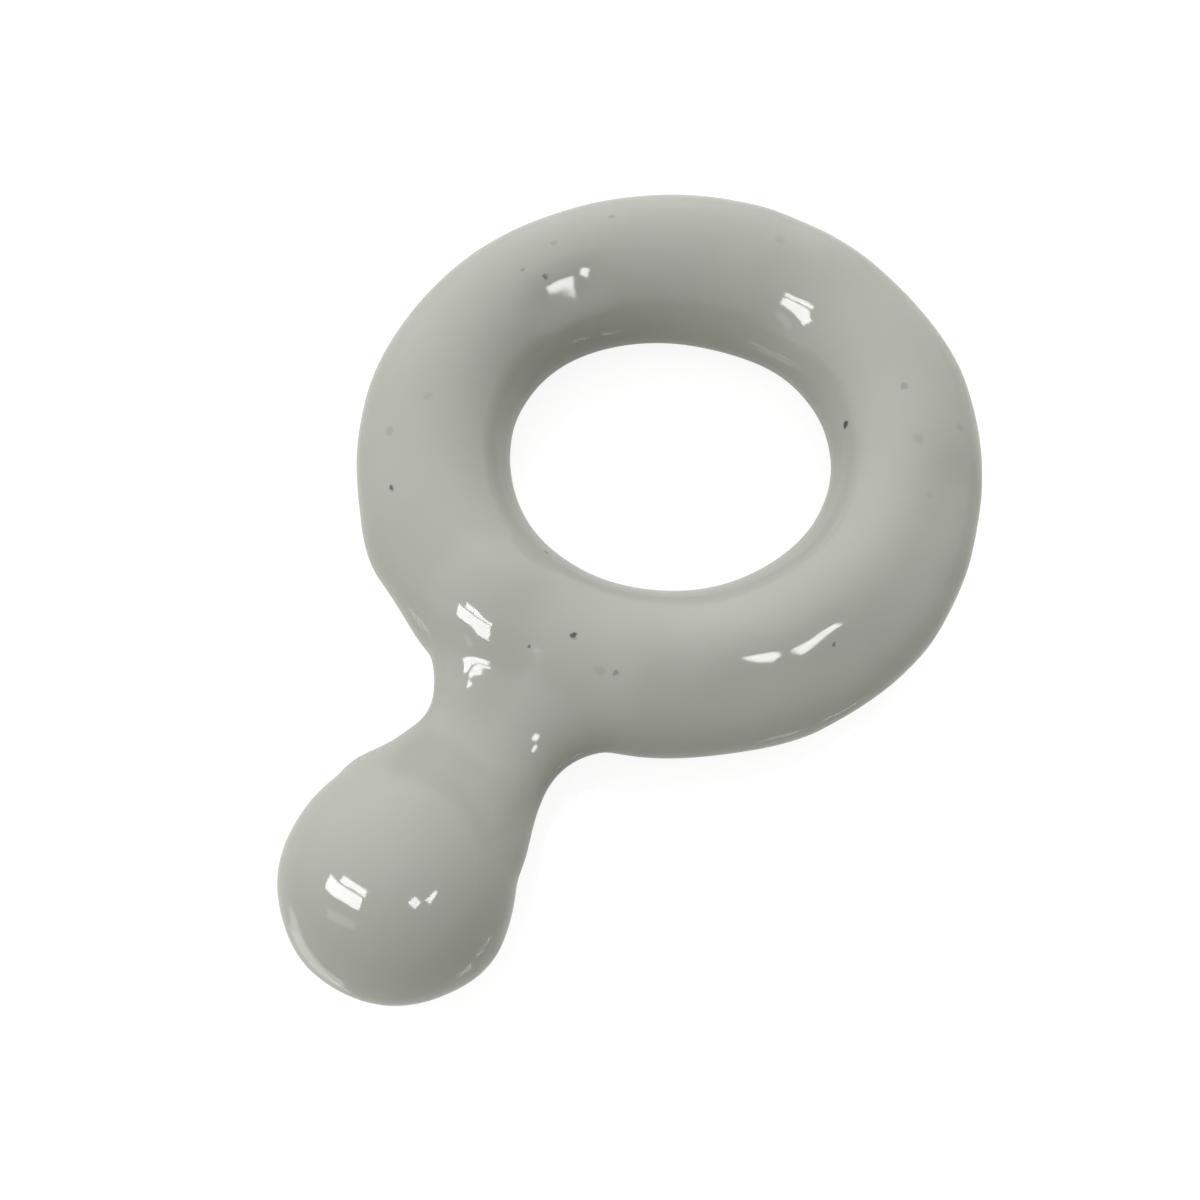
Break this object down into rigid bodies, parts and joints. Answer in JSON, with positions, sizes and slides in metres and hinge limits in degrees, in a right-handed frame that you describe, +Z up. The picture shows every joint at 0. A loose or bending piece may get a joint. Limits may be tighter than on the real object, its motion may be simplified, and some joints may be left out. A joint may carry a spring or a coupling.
{
  "type": "chopstick rest",
  "caption": "Glazed porcelain chopstick rest: a fat ring and a small ball joined by a low waisted stem, which chopstick tips lie across to keep them off the table.",
  "frame": {"origin": "centre of the outline, on the table under the feet", "axes": "+Y along the length from the ball to the ring, +Z up, X across, the way the chopsticks lie"},
  "size_m": [0.044, 0.0634, 0.0132],
  "materials": {
    "porcelain": "bare fired clay, matt, shows only on the wiped feet",
    "slip": "fired slip, matt, hidden in the joints",
    "glaze": "clear glossy glaze over white clay, pale warm grey, with a few iron specks"
  },
  "bodies": {
    "root": {"ring_coil": "porcelain", "coil_seam_slip": "slip", "ring_joint_slip": "slip", "neck_stem": "porcelain", "ball_joint_slip": "slip", "ball_end": "porcelain", "glaze_coat": "glaze"}
  },
  "joints": []
}
